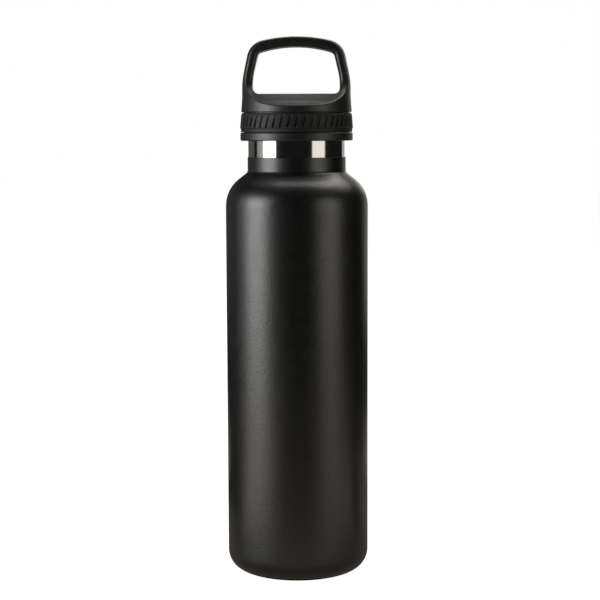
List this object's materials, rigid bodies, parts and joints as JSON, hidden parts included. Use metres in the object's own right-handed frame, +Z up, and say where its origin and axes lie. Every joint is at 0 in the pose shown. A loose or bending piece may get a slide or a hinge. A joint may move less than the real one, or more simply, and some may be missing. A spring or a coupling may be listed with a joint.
{
  "type": "insulated water bottle",
  "caption": "Double-wall vacuum steel drinking bottle with a screw lid that has a rigid carry loop and a ribbed grip ring.",
  "frame": {"origin": "centre of the plane that the foot ring rests on", "axes": "+Z up along the bottle's axis, the carry loop spans X, fingers go through it along Y, and -Y is the front"},
  "size_m": [0.073, 0.073, 0.2758],
  "materials": {
    "powder_coat": "matte powder coat, fine grain",
    "bare_steel": "polished",
    "seal_glass": "fused",
    "foil": "bright copper foil",
    "getter": "sintered",
    "silicone": "matte",
    "lid_plastic": "fine spark-eroded texture",
    "foam": "moulded foam",
    "grip_rubber": "matte"
  },
  "bodies": {
    "bottle": {"outer_shell": "powder_coat", "outer_bottom": "powder_coat", "base_cover": "bare_steel", "vacuum_seal": "seal_glass", "liner": "bare_steel", "liner_bottom": "bare_steel", "copper_foil": "foil", "getter_clip": "bare_steel", "getter_pellet": "getter"},
    "lid_seal": {"mouth_gasket": "silicone"},
    "lid": {"threaded_collar": "lid_plastic", "plug_shell": "lid_plastic", "lid_foam": "foam", "grip_ring": "grip_rubber", "loop_cap": "lid_plastic"}
  },
  "joints": [
    {"name": "lid_lift", "type": "slide", "parent": "bottle", "child": "lid_seal", "axis": [0, 0, 1], "range_m": [0, 0.0451]},
    {"name": "lid_turn", "type": "hinge", "parent": "lid_seal", "child": "lid", "pos_m": [0, 0, 0.2231], "axis": [0, 0, 1], "range_deg": [0, 1800]}
  ],
  "couplings": [
    {"joint": "lid_lift", "follows": "lid_turn", "m_per_rad": 0.0014324}
  ]
}
